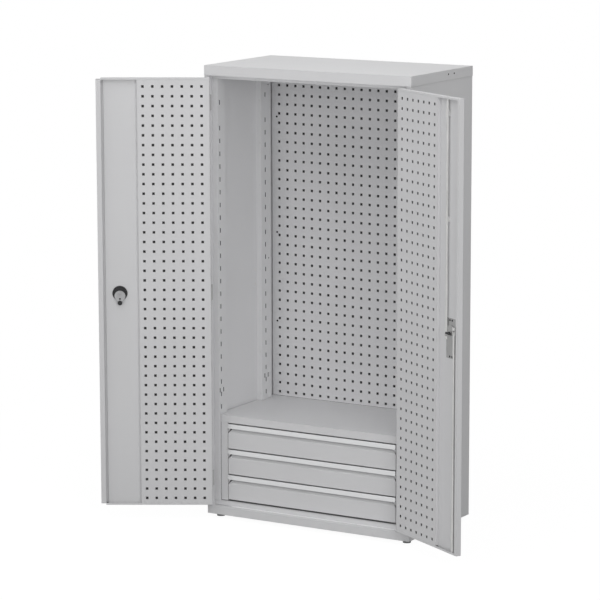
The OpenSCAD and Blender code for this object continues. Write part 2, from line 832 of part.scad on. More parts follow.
module door_panel(panel_w) {
    z0 = door_z0 + end_rim_w + sheet_fit;
    z1 = door_z1 - end_rim_w - sheet_fit;
    x0 = sheet_t + sheet_fit;
    leg = 9;
    cols = floor((panel_w - door_col_inset - hole_w) / hole_pitch) + 1;
    upright_sheet(x0, panel_w, z0, z1, door_t - panel_t, panel_t)
        hole_grid(door_col_inset, door_z1 - door_row_drop, cols, door_rows);
    block(x0, x0 + panel_t, door_t - leg, door_t - panel_t + eps, z0, z1);
}

// Recessed strip beside the perforated panel: leg up, floor, and a groove along the rim
module lock_strip(w, band_w, rim, notch) {
    z0 = door_z0 + sheet_t + sheet_fit;
    z1 = door_z1 - sheet_t - sheet_fit;
    x0 = w - band_w + sheet_fit;
    x1 = w - rim - groove_w;
    x2 = w - sheet_t - sheet_fit;
    top_leg = end_rim_w - sheet_t;
    groove_y = recess_y - groove_depth;
    block(x0, x0 + sheet_t, recess_y - sheet_t, door_t, z0 + top_leg, z1 - top_leg);
    block(x0, x1, recess_y - sheet_t, recess_y, z0, z1);
    block(x1 - sheet_t, x1, groove_y - sheet_t, recess_y, z0 + notch, z1 - notch);
    block(x1 - sheet_t, x2, groove_y - sheet_t, groove_y, z0 + notch, z1 - notch);
}

module door_hinge_leaves() {
    leaf_x = hinge_inset + barrel_r + half_gap;
    for (z = hinge_z) difference() {
        union() {
            block(leaf_x, hinge_inset + door_leaf_w, -leaf_t, -head_seat,
                  z - hinge_h / 2, z + hinge_h / 2);
            block(hinge_inset, leaf_x + 1, -leaf_t, -head_seat, z + half_gap, z + hinge_h / 2);
            translate([hinge_inset, axis_y - front_y, z]) cylinder(r = barrel_r, h = hinge_h / 2);
        }
        translate([hinge_inset, axis_y - front_y, z - 1])
            cylinder(d = pin_d + 2 * pin_clear, h = hinge_h);
    }
}

module left_door_skin() {
    color(paint) hang(-1) door_skin(left_door_w, left_rim_w, left_edge_notch, true, false);
}

module left_door_perforated_panel() {
    color(paint) hang(-1) door_panel(left_door_w - left_band_w);
}

module left_door_lock_strip() {
    color(paint) hang(-1) difference() {
        lock_strip(left_door_w, left_band_w, left_rim_w, left_edge_notch);
        translate([lock_x, 0, lock_z]) round_y(lock_neck_d + 0.6, sheet_t + 1, door_t);
    }
}

module left_door_hinge_leaves() {
    color(zinc) hang(-1) door_hinge_leaves();
}

module right_door_skin() {
    color(paint) hang(1) door_skin(right_door_w, right_rim_w, 0, false, true);
}

module right_door_perforated_panel() {
    color(paint) hang(1) door_panel(right_door_w - right_band_w);
}

module right_door_lock_strip() {
    color(paint) hang(1) lock_strip(right_door_w, right_band_w, right_rim_w, 0);
}

module right_door_hinge_leaves() {
    color(zinc) hang(1) door_hinge_leaves();
}

// ---------- Lock of the left door ----------

module lock_place() {
    hang(-1) translate([lock_x, 0, lock_z]) children();
}

knob_gap = 0.3;
ring_top_y = recess_y + lock_ring_h;
cam_y = ring_top_y + knob_gap;

module lock_housing() {
    color(black) lock_place() difference() {
        union() {
            round_y(lock_rose_d, -lock_rose_t, -0.05);
            round_y(lock_neck_d, -0.1, recess_y + 0.1);
            round_y(lock_ring_d, recess_y + 0.05, ring_top_y);
        }
        round_y(spindle_d + 2 * lock_clear, -lock_rose_t - 1, ring_top_y + 1);
    }
}

// Knob with two flats for the fingers, and the spindle behind it
module lock_knob() {
    y0 = -lock_rose_t - knob_gap;
    base_l = 5;
    color(zinc) lock_place() difference() {
        union() {
            intersection() {
                round_y(knob_d, y0 - knob_l, y0);
                union() {
                    block(-knob_bar_w / 2, knob_bar_w / 2, y0 - knob_l, y0, -knob_d, knob_d);
                    block(-knob_d, knob_d, y0 - base_l, y0, -knob_d, knob_d);
                }
            }
            round_y(spindle_d, y0 - 1, cam_y + cam_t);
        }
        round_y(cylinder_d + 2 * lock_clear, y0 - knob_l - 1, -1);
    }
}

module lock_cylinder() {
    y0 = -lock_rose_t - knob_gap - knob_l;
    key_w = 1.8;
    key_h = 8;
    color(zinc) lock_place() difference() {
        round_y(cylinder_d, y0 - 1, -1.3);
        block(-key_w / 2, key_w / 2, y0 - 2, y0 + 6, -key_h / 2, key_h / 2);
    }
}

module lock_cam() {
    color(zinc) lock_place() translate([0, cam_y + cam_t, 0]) rotate([90, 0, 0])
        linear_extrude(cam_t) difference() {
            hull() {
                translate([0, -cam_drop]) circle(d = cam_d);
                translate([0, -cam_reach]) circle(d = cam_tip_d);
            }
            circle(d = spindle_d + 2 * pin_clear);
            translate([0, -cam_drop - cam_d / 4]) circle(d = cam_hole_d);
        }
}

module lock_roller() {
    y0 = cam_y + cam_t + 0.05;
    color(black) lock_place() translate([0, 0, -cam_reach]) {
        round_y(roller_d, y0, y0 + roller_t);
    }
}

// ---------- Bolt drive of the right door ----------

module bolt_place() {
    hang(1) translate([bolt_x, 0, bolt_z]) children();
}

// Turned so that the rods are drawn back into the door
module drive_pins() {
    for (s = [-1, 1])
        translate([s * rod_offset * cos(drive_turn / 2), 0,
                   s * rod_offset * sin(drive_turn / 2)]) children();
}

module bolt_base_plate() {
    color(zinc) bolt_place() difference() {
        translate([0, 0, -base_plate_drop]) block(-base_plate_w / 2, base_plate_w / 2,
            recess_y + 0.05, plate_y, -base_plate_h / 2, base_plate_h / 2);
        round_y(pivot_d + 2 * lock_clear, 0, door_t);
    }
}

module bolt_pivot() {
    color(zinc) bolt_place() {
        round_y(pivot_d, recess_y + 0.1, pin_top_y - 1);
    }
}

module bolt_drive() {
    color(zinc) bolt_place() difference() {
        union() {
            round_y(drive_d, disc_y, disc_y + drive_t);
            drive_pins() round_y(drive_pin_d, disc_y + drive_t - 0.1, pin_top_y);
            round_y(pivot_d + 2 * hub_wall, disc_y, pin_top_y);
        }
        round_y(pivot_d + 2 * lock_clear, 0, pin_top_y - 0.7);
    }
}

module bolt_grip() {
    y0 = pin_top_y + 0.05;
    y1 = door_t + grip_out;
    bar_t = 5;
    color(black) bolt_place() {
        round_y(grip_stem_d, y0, y1 - 1);
        block(-grip_l / 2, grip_l / 2, y1 - bar_t, y1, -grip_h / 2, grip_h / 2);
    }
}

// Flat rod from its pin to its free end; s = -1 is the upper rod, 1 the lower
module lock_rod(s) {
    pin_x = s * rod_offset * cos(drive_turn / 2);
    pin_z = s * rod_offset * sin(drive_turn / 2);
    tail = 14;
    head_w = 16;
    pin_slot_r = drive_pin_d / 2 + drive_pin_play;
    slot_run = rod_offset * (1 - cos(drive_turn / 2)) + 1;
    end_z = s < 0 ? door_z1 - rod_inset - bolt_z : door_z0 + rod_inset - bolt_z;
    near_z = pin_z + s * tail;
    color(zinc) bolt_place() difference() {
        union() {
            block(s * rod_offset - rod_w / 2, s * rod_offset + rod_w / 2, rod_y, rod_y + rod_t,
                  min(near_z, end_z), max(near_z, end_z));
            translate([s * rod_offset, 0, pin_z])
                block(-head_w / 2, head_w / 2, rod_y, rod_y + rod_t, -tail, tail);
        }
        hull() {
            for (dx = [-slot_run, slot_run])
                translate([s * rod_offset + dx, 0, pin_z])
                    round_y(2 * pin_slot_r, 0, door_t, $fn = 32);
        }
    }
}

module upper_lock_rod() {
    lock_rod(-1);
}

module lower_lock_rod() {
    lock_rod(1);
}

// Bridges that keep the rods in line
module rod_guides() {
    play = 0.5;
    leg = 1.5;
    y1 = rod_y + rod_t + play + leg;
    places = [[-1, door_z1 - guide_end], [-1, bolt_z + guide_reach],
              [1, bolt_z - guide_reach], [1, door_z0 + guide_end]];
    color(zinc) hang(1) for (p = places)
        translate([bolt_x + p[0] * rod_offset, 0, p[1]]) difference() {
            block(-rod_w / 2 - play - leg, rod_w / 2 + play + leg, recess_y + 0.05, y1,
                  -guide_h / 2, guide_h / 2);
            block(-rod_w / 2 - play, rod_w / 2 + play, 0, rod_y + rod_t + play,
                  -guide_h, guide_h);
        }
}

// ---------- Drawer unit ----------

module drawer_unit_top() {
    y1 = back_panel_y - sheet_fit;
    lip_back = 20;
    lip_flange = 12;
    z0 = shelf_z - sheet_t;
    wide = [
        [stop_y + front_post_d + shelf_side_gap, rear_post_y - shelf_side_gap],
        [rear_post_y + rear_post_d + shelf_side_gap, y1]
    ];
    color(paint) {
        block(-unit_x, unit_x, unit_y, y1, z0, shelf_z);
        for (w = wide) {
            block(-wide_x, wide_x, w[0], w[1], z0, shelf_z);
            for (x = [-wide_x, wide_x - sheet_t])
                block(x, x + sheet_t, w[0], w[1], shelf_z - lip_back, shelf_z);
        }
        block(-unit_x, unit_x, unit_y, unit_y + sheet_t, unit_z1, shelf_z);
        block(-unit_x, unit_x, unit_y, unit_y + lip_flange, unit_z1, unit_z1 + sheet_t);
        block(-unit_x, unit_x, y1 - sheet_t, y1, shelf_z - lip_back, shelf_z);
    }
}

// Two side walls with the uprights of the front, tied together at the bottom
module drawer_unit_frame() {
    z1 = unit_z1 - sheet_fit;
    z_wall = shelf_z - sheet_t - sheet_fit;
    step = 13;
    color(paint) {
        both_sides() {
            block(-unit_x, -opening_x, unit_y, unit_y + sheet_t, unit_z0, z1);
            block(-unit_x, -unit_x + sheet_t, unit_y, unit_y + front_post_d, unit_z0, z1);
            block(-opening_x - sheet_t, -opening_x, unit_y, unit_back, unit_z0, z1);
            block(-opening_x - sheet_t, -opening_x, unit_y + step, unit_back, unit_z0, z_wall);
        }
        for (y = [unit_y, unit_back - unit_tie_d])
            block(-opening_x - eps, opening_x + eps, y, y + unit_tie_d, unit_z0, unit_z0 + tie_h);
    }
}

// Bottom of drawer k, counted from the top
function drawer_z(k) = bays_z1 - (k + 1) * drawer_pitch + drawer_gap;
function rail_z(k) = drawer_z(k) + box_lift + box_h / 2;

// Channel section of a rail, drawn in XZ: web at x = 0, open towards +X
module rail_section(w, h) {
    difference() {
        translate([0, -h / 2]) square([w, h]);
        translate([rail_t, -h / 2 + rail_t]) square([w, h - 2 * rail_t]);
    }
}

module rail_run(x, z) {
    translate([x, box_y0 + rail_l, z]) rotate([90, 0, 0]) linear_extrude(rail_l) children();
}

module drawer_outer_rails() {
    color(zinc) both_sides() for (k = [0 : drawers - 1])
        rail_run(-opening_x + rail_seat, rail_z(k)) rail_section(rail_w - 2, rail_h);
}

module middle_rails(k) {
    x0 = rail_t + rail_gap;
    color(zinc) both_sides()
        rail_run(-opening_x + rail_seat + x0, rail_z(k)) rail_section(rail_w - 1.5 - x0, middle_h);
}

module inner_rails(k) {
    w = rail_w - 2 * (rail_t + rail_gap) - rail_seat;
    color(zinc) both_sides()
        rail_run(-box_w / 2 - rail_seat, rail_z(k)) mirror([1, 0]) rail_section(w, inner_h);
}

module drawer_box(k) {
    z0 = drawer_z(k) + box_lift;
    x1 = box_w / 2;
    color(paint) difference() {
        block(-x1, x1, box_y0, box_y0 + box_l, z0, z0 + box_h);
        block(-x1 + box_t, x1 - box_t, box_y0 + box_t, box_y0 + box_l - box_t,
              z0 + box_t, z0 + box_h + 1);
    }
}

// Folded front: flat face, finger recess sloping back, upright top behind the handle
module drawer_front(k) {
    t = sheet_t;
    h = front_h;
    z1 = h - handle_h - finger_h;
    z2 = h - handle_h;
    y0 = unit_y;
    y1 = unit_y + finger_d;
    color(paint) translate([0, 0, drawer_z(k)]) difference() {
        along_x(-front_w / 2, front_w / 2) polygon([
            [y0, 0], [y0, z1], [y1, z2], [y1, h], [y1 + t, h], [y1 + t, z2 - t / 2],
            [y0 + t, z1 - t / 2], [y0 + t, t], [y1 + t, t], [y1 + t, 0]
        ]);
        for (sx = [-1, 1])
            translate([sx * front_w / 2, y1 + 2 * t, 0]) rotate([90, 0, 0])
                linear_extrude(finger_d + 3 * t)
                    polygon([[sx, z2 - corner_cut_h], [sx, z2], [-sx * corner_cut_w, z2]]);
    }
}

// Extruded profile: front lip, top web and back wall, open below for the fingers
module drawer_handle(k) {
    y0 = unit_y - handle_out;
    y1 = unit_y + finger_d - 0.1;
    z0 = front_h - handle_h + 0.3;
    z1 = front_h;
    t = handle_t;
    groove = 0.6;
    groove_h = 0.9;
    groove_pitch = 4.2;
    color(alu) translate([0, 0, drawer_z(k)]) difference() {
        along_x(-front_w / 2, front_w / 2) polygon([
            [y0 + 1, z1], [y1, z1], [y1, z0], [y1 - t, z0], [y1 - t, z1 - t],
            [y0 + t, z1 - t], [y0 + t, z0], [y0, z0], [y0, z1 - 1]
        ]);
        for (n = [1 : 3])
            block(-front_w, front_w, y0 - 1, y0 + groove, z0 + n * groove_pitch,
                  z0 + n * groove_pitch + groove_h);
    }
}

top_cover();
top_rail();
base_frame();
floor_plate();
side_skin(-1);  // left_side_skin
side_skin(1);  // right_side_skin
side_liners();
front_posts();
rear_uprights();
back_skin();
back_perforated_panel();
back_panel_brackets();
back_panel_screws();
cover_screws();
hinge_frame_leaves();
hinge_pins();
foot_plates();
foot_studs();
foot_pads();
drawer_unit_top();
drawer_unit_frame();
drawer_outer_rails();
left_door_skin();
left_door_perforated_panel();
left_door_lock_strip();
left_door_hinge_leaves();
lock_housing();
lock_knob();
lock_cam();
lock_roller();
lock_cylinder();
right_door_skin();
right_door_perforated_panel();
right_door_lock_strip();
right_door_hinge_leaves();
bolt_base_plate();
bolt_pivot();
rod_guides();
bolt_drive();
bolt_grip();
upper_lock_rod();
lower_lock_rod();
drawer_box(0);  // drawer_1_box
drawer_front(0);  // drawer_1_front
drawer_handle(0);  // drawer_1_handle
inner_rails(0);  // drawer_1_inner_rails
middle_rails(0);  // drawer_1_middle_rails
drawer_box(1);  // drawer_2_box
drawer_front(1);  // drawer_2_front
drawer_handle(1);  // drawer_2_handle
inner_rails(1);  // drawer_2_inner_rails
middle_rails(1);  // drawer_2_middle_rails
drawer_box(2);  // drawer_3_box
drawer_front(2);  // drawer_3_front
drawer_handle(2);  // drawer_3_handle
inner_rails(2);  // drawer_3_inner_rails
middle_rails(2);  // drawer_3_middle_rails
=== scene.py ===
# Looks of a tall tool cabinet with open perforated doors: paint, zinc, aluminium,
# plastic and the small turned and moulded pieces that the frame keeps plain.
import math

import bmesh
import bpy
from mathutils import Matrix, Vector


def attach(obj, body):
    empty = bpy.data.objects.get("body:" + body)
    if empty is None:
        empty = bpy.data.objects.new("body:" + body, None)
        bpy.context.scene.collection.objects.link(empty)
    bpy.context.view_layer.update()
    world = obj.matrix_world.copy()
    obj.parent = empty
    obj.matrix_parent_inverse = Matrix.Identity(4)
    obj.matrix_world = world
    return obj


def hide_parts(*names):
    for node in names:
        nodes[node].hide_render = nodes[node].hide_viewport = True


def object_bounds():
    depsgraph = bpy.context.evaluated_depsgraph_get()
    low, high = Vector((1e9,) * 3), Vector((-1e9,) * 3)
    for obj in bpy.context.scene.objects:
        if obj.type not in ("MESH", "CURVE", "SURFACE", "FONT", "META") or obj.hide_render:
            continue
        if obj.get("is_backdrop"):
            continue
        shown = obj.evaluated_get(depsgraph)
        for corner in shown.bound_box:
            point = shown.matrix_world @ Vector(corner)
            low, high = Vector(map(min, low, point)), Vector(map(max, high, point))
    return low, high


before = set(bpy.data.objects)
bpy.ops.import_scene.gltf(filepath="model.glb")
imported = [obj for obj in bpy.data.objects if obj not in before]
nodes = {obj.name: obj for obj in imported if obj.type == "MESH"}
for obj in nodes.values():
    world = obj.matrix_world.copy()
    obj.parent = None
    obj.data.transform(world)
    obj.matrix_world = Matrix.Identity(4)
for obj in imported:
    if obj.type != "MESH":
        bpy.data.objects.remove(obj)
cad_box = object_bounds()
MM = 0.001

# ---------------------------------------------------------------- places

HINGE_X = 431.3
HINGE_Y = -255.45
DOOR_EDGE_X = 434.8
FRONT_Y = -250.0
OPEN_ANGLE = math.radians(150)
DOOR_BOTTOM = 59.3
DOOR_TOP = 1755.3
DOOR_DEPTH = 21.0
DOOR_WIDTH = {-1: 440.4, 1: 426.2}


def door_place(side, u, y, z):
    """From a door's own (u, y, z), counted from its hinged edge and outer face, to the open
    door. Z of the piece points along the door's inner normal, X away from the hinges."""
    shut = Matrix.Translation(((u - DOOR_EDGE_X) * MM, (FRONT_Y + y) * MM, z * MM))
    facing = Matrix(((1, 0, 0, 0), (0, 0, 1, 0), (0, -1, 0, 0), (0, 0, 0, 1)))
    axis = Matrix.Translation((-HINGE_X * MM, HINGE_Y * MM, 0))
    swing = axis @ Matrix.Rotation(-OPEN_ANGLE, 4, "Z") @ axis.inverted()
    flip = Matrix.Scale(-1, 4, (1, 0, 0)) if side > 0 else Matrix.Identity(4)
    return flip @ swing @ shut @ facing


def facing_out(x, y, z, direction):
    """Places a piece whose +Z points along a direction of the cabinet."""
    turn = Vector(direction).to_track_quat("Z", "Y").to_matrix().to_4x4()
    return Matrix.Translation((x * MM, y * MM, z * MM)) @ turn


# ---------------------------------------------------------------- shader helpers


class Val:
    """A value socket that takes part in plain arithmetic."""

    def __init__(self, mat, socket):
        self.mat = mat
        self.socket = socket

    def _math(self, op, a, b):
        return Val(self.mat, self.mat.node("ShaderNodeMath", {"operation": op}, {0: a, 1: b}, 0))

    def __add__(self, other):
        return self._math("ADD", self, other)

    __radd__ = __add__

    def __sub__(self, other):
        return self._math("SUBTRACT", self, other)

    def __rsub__(self, other):
        return self._math("SUBTRACT", other, self)

    def __mul__(self, other):
        return self._math("MULTIPLY", self, other)

    __rmul__ = __mul__

    def __gt__(self, other):
        return self._math("GREATER_THAN", self, other)

    def __lt__(self, other):
        return self._math("LESS_THAN", self, other)


class Mat:
    """A node material; node() adds any node, with its settings first and then its sockets."""

    def __init__(self, name):
        self.data = bpy.data.materials.new(name)
        self.data.use_nodes = True
        self.tree = self.data.node_tree
        self.tree.nodes.clear()

    def node(self, kind, settings=None, values=None, out=None):
        made = self.tree.nodes.new(kind)
        for key, setting in (settings or {}).items():
            setattr(made, key, setting)
        for key, value in (values or {}).items():
            target = made.inputs[key]
            if isinstance(value, Val):
                value = value.socket
            if isinstance(value, bpy.types.NodeSocket):
                self.tree.links.new(value, target)
            else:
                target.default_value = value
        return made if out is None else made.outputs[out]

    def place(self, scale=(1, 1, 1)):
        """Object coordinates, stretched along an axis by a scale under 1."""
        at = self.node("ShaderNodeTexCoord", out="Object")
        return self.node("ShaderNodeMapping", None, {"Vector": at, "Scale": scale}, "Vector")

    def noise(self, scale, detail=2.0, rough=0.5, stretch=(1, 1, 1)):
        return Val(self, self.node(
            "ShaderNodeTexNoise", None,
            {"Vector": self.place(stretch), "Scale": scale, "Detail": detail, "Roughness": rough},
            "Fac"))

    def ramp(self, value, low, high, from_level=0.0, to_level=1.0):
        """Takes low..high to two levels and stays at them beyond."""
        return Val(self, self.node(
            "ShaderNodeMapRange", {"clamp": True},
            {"Value": value, "From Min": low, "From Max": high,
             "To Min": from_level, "To Max": to_level}, "Result"))

    def tint(self, factor, dark, light):
        """Colour between two, dark where the factor is 0."""
        return self.node(
            "ShaderNodeMix", {"data_type": "RGBA"},
            {"Factor": factor, "A": (*dark, 1), "B": (*light, 1)}, 2)

    def blend(self, factor, under, over):
        """Lays an even colour over another where the factor is 1."""
        return self.node(
            "ShaderNodeMix", {"data_type": "RGBA"},
            {"Factor": factor, "A": under, "B": (*over, 1)}, 2)

    def along(self, direction, start=(0, 0, 0)):
        """Distance in mm from a point, measured along a direction of the cabinet."""
        way = Vector(direction)
        at = self.node("ShaderNodeTexCoord", out="Object")
        run = self.node("ShaderNodeVectorMath", {"operation": "DOT_PRODUCT"}, {0: at, 1: way},
                        "Value")
        return Val(self, run) * (1 / MM) - way.dot(Vector(start)) / MM

    def fold(self, radius):
        """Normal that rolls over an edge with the small radius of a folded sheet."""
        return self.node("ShaderNodeBevel", {"samples": 4}, {"Radius": radius}, "Normal")

    def finish(self, bump, distance, fold=None, **values):
        """Closes the material with a bump, a rolled fold if any, and its surface values."""
        sockets = {"Height": bump, "Distance": distance, "Strength": 1.0}
        if fold:
            sockets["Normal"] = self.fold(fold)
        normal = self.node("ShaderNodeBump", None, sockets, "Normal")
        named = {key.replace("_", " "): value for key, value in values.items()}
        shader = self.node("ShaderNodeBsdfPrincipled", None, {"Normal": normal, **named}, "BSDF")
        self.node("ShaderNodeOutputMaterial", None, {"Surface": shader})
        return self.data


# ---------------------------------------------------------------- materials

FOLD_RADIUS = 0.002
# a dark colour painted where hollows, gaps and hidden sheets lie in shade: painted shade
PAINTED_SHADE_COLOUR = (0.13, 0.13, 0.132)
# the part of a noise's range that counts: its ends are rare
WEAR = (0.3, 0.7)


def powder_coat(name, colour, shade_mask=None, fold=FOLD_RADIUS):
    """Light grey paint; the mask given as its third argument says where painted shade darkens it,
    inside hollows and gaps.
    """
    mat = Mat(name)
    cloud = mat.noise(2.2, 3.0, 0.55)
    peel = mat.noise(420.0, 2.0, 0.6)
    grit = mat.noise(1500.0, 1.0, 0.5)
    dark = tuple(c * 0.975 for c in colour)
    light = tuple(min(c * 1.02, 1) for c in colour)
    coat = mat.tint(mat.ramp(cloud * 0.8 + grit * 0.2, *WEAR), dark, light)
    # painted shade: the dark colour is laid over the paint where the mask says the surface lies in
    # shade
    if shade_mask:
        coat = mat.blend(shade_mask(mat), coat, PAINTED_SHADE_COLOUR)
    return mat.finish(
        peel * 0.7 + grit * 0.3, 0.00012, fold,
        Base_Color=coat,
        Roughness=mat.ramp(cloud * 0.6 + peel * 0.4, *WEAR, 0.42, 0.52),
        Specular_IOR_Level=0.42)


def zinc_plate(name, colour, rough=0.3, metal=1.0):
    mat = Mat(name)
    cloud = mat.noise(26.0, 3.0, 0.6)
    rub = mat.noise(260.0, 2.0, 0.6, (1, 1, 0.12))
    dark = tuple(c * 0.86 for c in colour)
    return mat.finish(
        rub, 0.00004,
        Base_Color=mat.tint(mat.ramp(cloud, *WEAR), dark, colour),
        Roughness=mat.ramp(cloud * 0.5 + rub * 0.5, *WEAR, rough - 0.05, rough + 0.1),
        Metallic=metal)


def drawn_aluminium(name, colour):
    mat = Mat(name)
    streak = mat.noise(900.0, 2.0, 0.6, (0.004, 1, 1))
    cloud = mat.noise(12.0, 2.0, 0.5)
    dark = tuple(c * 0.93 for c in colour)
    return mat.finish(
        streak, 0.00003,
        Base_Color=mat.tint(mat.ramp(streak * 0.6 + cloud * 0.4, *WEAR), dark, colour),
        Roughness=mat.ramp(streak, 0.25, 0.75, 0.34, 0.46),
        Metallic=0.85)


def moulded_black(name, colour, rough, grain_scale, grain_depth):
    mat = Mat(name)
    grain = mat.noise(grain_scale, 2.0, 0.6)
    cloud = mat.noise(30.0, 2.0, 0.5)
    light = tuple(c * 1.5 + 0.002 for c in colour)
    return mat.finish(
        grain, grain_depth,
        Base_Color=mat.tint(mat.ramp(cloud, *WEAR), colour, light),
        Roughness=mat.ramp(grain * 0.6 + cloud * 0.4, *WEAR, rough - 0.06, rough + 0.08),
        Specular_IOR_Level=0.3)


SHEET = 1.2
BACK_PANEL_Y = 217.4
BACK_PANEL_HIDDEN_Y = BACK_PANEL_Y + 1.0
REAR_SHEET_HIDDEN_Y = 247.6
POST_X = 412.5
WALL_X = 437.0
POSTS = {"front_posts": (-223.0, -170.0), "rear_uprights": (100.0, 171.0)}
POST_TOP = 1747.0
FRONT_FACE_Y = -215.0
UNIT_X = 410.7
UNIT_TOP = 384.5
UNIT_TIE_TOP = 69.9
# how deep the painted shade lies in a door pan and on the back of its panel
PAN_DEPTH = DOOR_DEPTH - 1.5
PANEL_DEPTH = DOOR_DEPTH - SHEET + 0.2
# margins that keep the painted shade off the visible edges
FACE_MARGIN = 0.5
FOLD_MARGIN = 0.8
WALL_MARGIN = 1
EDGE_MARGIN = 0.3


def in_door(side, depth):
    """Where painted shade lies inside a door: behind its panel, within its folded edges."""
    to_door = door_place(side, 0, 0, 0)
    across = to_door.to_3x3() @ Vector((1, 0, 0))
    inward = to_door.to_3x3() @ Vector((0, 0, 1))

    def mask(mat):
        u = mat.along(across, to_door.translation)
        t = mat.along(inward, to_door.translation)
        z = mat.along((0, 0, 1))
        half = SHEET / 2
        flat = (t > half) * (t < depth) * (u > half) * (u < DOOR_WIDTH[side] - half)
        return flat * (z > DOOR_BOTTOM + half) * (z < DOOR_TOP - half)
    return mask


def in_post(name):
    """Where painted shade lies: inside a post channel, between its face and the wall sheet, and
    below the drawer unit's top behind the front face.
    """
    y0, y1 = POSTS[name]

    def mask(mat):
        x = mat.along((1, 0, 0))
        y = mat.along((0, 1, 0))
        covered = (mat.along((0, 0, 1)) < UNIT_TOP) * (y > FRONT_FACE_Y + SHEET)
        beside = x * x > (POST_X + FACE_MARGIN) ** 2
        within = beside * (y > y0 + FOLD_MARGIN) * (y < y1 - FOLD_MARGIN)
        return (covered + within) > 0.5
    return mask


def round_the_drawers(mat):
    """Painted shade on the edges of the drawer unit that lie in the gaps beside and under the
    drawers.
    """
    x = mat.along((1, 0, 0))
    beside = x * x > (UNIT_X - FACE_MARGIN) ** 2
    sides = beside * (mat.along((0, 1, 0)) > FRONT_FACE_Y + EDGE_MARGIN)
    return (sides + (mat.along((0, 0, 1)) < UNIT_TIE_TOP)) > 0.5


def behind_posts(mat):
    """Painted shade on the wall sheet inside both post channels."""
    y = mat.along((0, 1, 0))
    z = mat.along((0, 0, 1))
    bands = [(y > y0 + WALL_MARGIN) * (y < y1 - WALL_MARGIN) for y0, y1 in POSTS.values()]
    return (bands[0] + bands[1]) * (z < POST_TOP)


PAINT = (0.72, 0.72, 0.73)
# the same paint in the open hollow, painted a little lighter for the light caught in it: painted
# light
INSIDE_PAINT_WITH_PAINTED_LIGHT = (0.755, 0.755, 0.765)
cabinet_paint = powder_coat("cabinet_paint", PAINT)
# each sheet's mask paints shade where it lies in a hollow or gap: painted shade; the inside sheets
# also take the lighter inside paint: painted light
sheet_paint = {
    "left_door_skin": powder_coat("left_door_paint_and_painted_shade", PAINT, in_door(-1, PAN_DEPTH)),
    "right_door_skin": powder_coat("right_door_paint_and_painted_shade", PAINT, in_door(1, PAN_DEPTH)),
    "left_door_perforated_panel": powder_coat(
        "left_panel_paint_and_painted_shade", PAINT, in_door(-1, PANEL_DEPTH), None),
    "right_door_perforated_panel": powder_coat(
        "right_panel_paint_and_painted_shade", PAINT, in_door(1, PANEL_DEPTH), None),
    "back_perforated_panel": powder_coat(
        "back_panel_paint_painted_light_and_shade", INSIDE_PAINT_WITH_PAINTED_LIGHT, lambda mat: mat.along((0, 1, 0)) > BACK_PANEL_HIDDEN_Y,
        None),
    # painted shade: the brackets behind the back panel are coloured dark all over
    "back_panel_brackets": powder_coat("bracket_painted_shade", PAINTED_SHADE_COLOUR, None, None),
    "back_skin": powder_coat(
        "rear_sheet_paint_and_painted_shade", PAINT, lambda mat: mat.along((0, 1, 0)) < REAR_SHEET_HIDDEN_Y),
    "side_liners": powder_coat("wall_paint_painted_light_and_shade", INSIDE_PAINT_WITH_PAINTED_LIGHT, behind_posts),
    "drawer_unit_frame": powder_coat("drawer_unit_paint_and_painted_shade", PAINT, round_the_drawers),
    "front_posts": powder_coat(
        "front_post_paint_painted_light_and_shade", INSIDE_PAINT_WITH_PAINTED_LIGHT, in_post("front_posts"), None),
    "rear_uprights": powder_coat(
        "rear_upright_paint_painted_light_and_shade", INSIDE_PAINT_WITH_PAINTED_LIGHT, in_post("rear_uprights"), None),
}
zinc = zinc_plate("bright_zinc", (0.56, 0.56, 0.55))
lock_zinc = zinc_plate("lock_zinc", (0.38, 0.38, 0.38), 0.42, 0.7)
rod_zinc = zinc_plate("rod_zinc", (0.74, 0.74, 0.73), 0.5, 0.35)
nut_zinc = zinc_plate("nut_zinc", (0.86, 0.86, 0.85), 0.5, 0.1)
cam_zinc = zinc_plate("cam_zinc", (0.3, 0.3, 0.305), 0.4)
hinge_zinc = zinc_plate("hinge_zinc", (0.62, 0.62, 0.615), 0.5, 0.3)
handle_aluminium = drawn_aluminium("handle_aluminium", (0.64, 0.645, 0.65))
black_moulding = moulded_black("black_moulding", (0.011, 0.011, 0.012), 0.45, 900.0, 0.00005)
grey_moulding = moulded_black("grey_moulding", (0.24, 0.245, 0.25), 0.55, 700.0, 0.00006)
black_screw = moulded_black("black_screw", (0.03, 0.03, 0.032), 0.35, 700.0, 0.00003)

ZINC_NODES = (
    "hinge_pins", "foot_plates", "foot_studs", "lock_knob", "lock_cylinder", "bolt_pivot")
BLACK_NODES = ("lock_housing", "lock_roller", "bolt_grip")


def finish_of(name):
    """Material of a solid, from its name."""
    if name.endswith("_handle"):
        return handle_aluminium
    if name == "lock_cam":
        return cam_zinc
    if name in ("bolt_drive", "bolt_base_plate"):
        return lock_zinc
    if name.endswith("_lock_rod") or name == "rod_guides":
        return rod_zinc
    if name.endswith("_leaves"):
        return hinge_zinc
    if name in ZINC_NODES or name.endswith("_rails"):
        return zinc
    if name in BLACK_NODES:
        return black_moulding
    if name == "foot_pads":
        return grey_moulding
    if name.endswith("_screws"):
        return black_screw
    return sheet_paint.get(name, cabinet_paint)


for node_name, node_object in nodes.items():
    for slot in node_object.material_slots:
        slot.material = finish_of(node_name)

# ---------------------------------------------------------------- mesh helpers


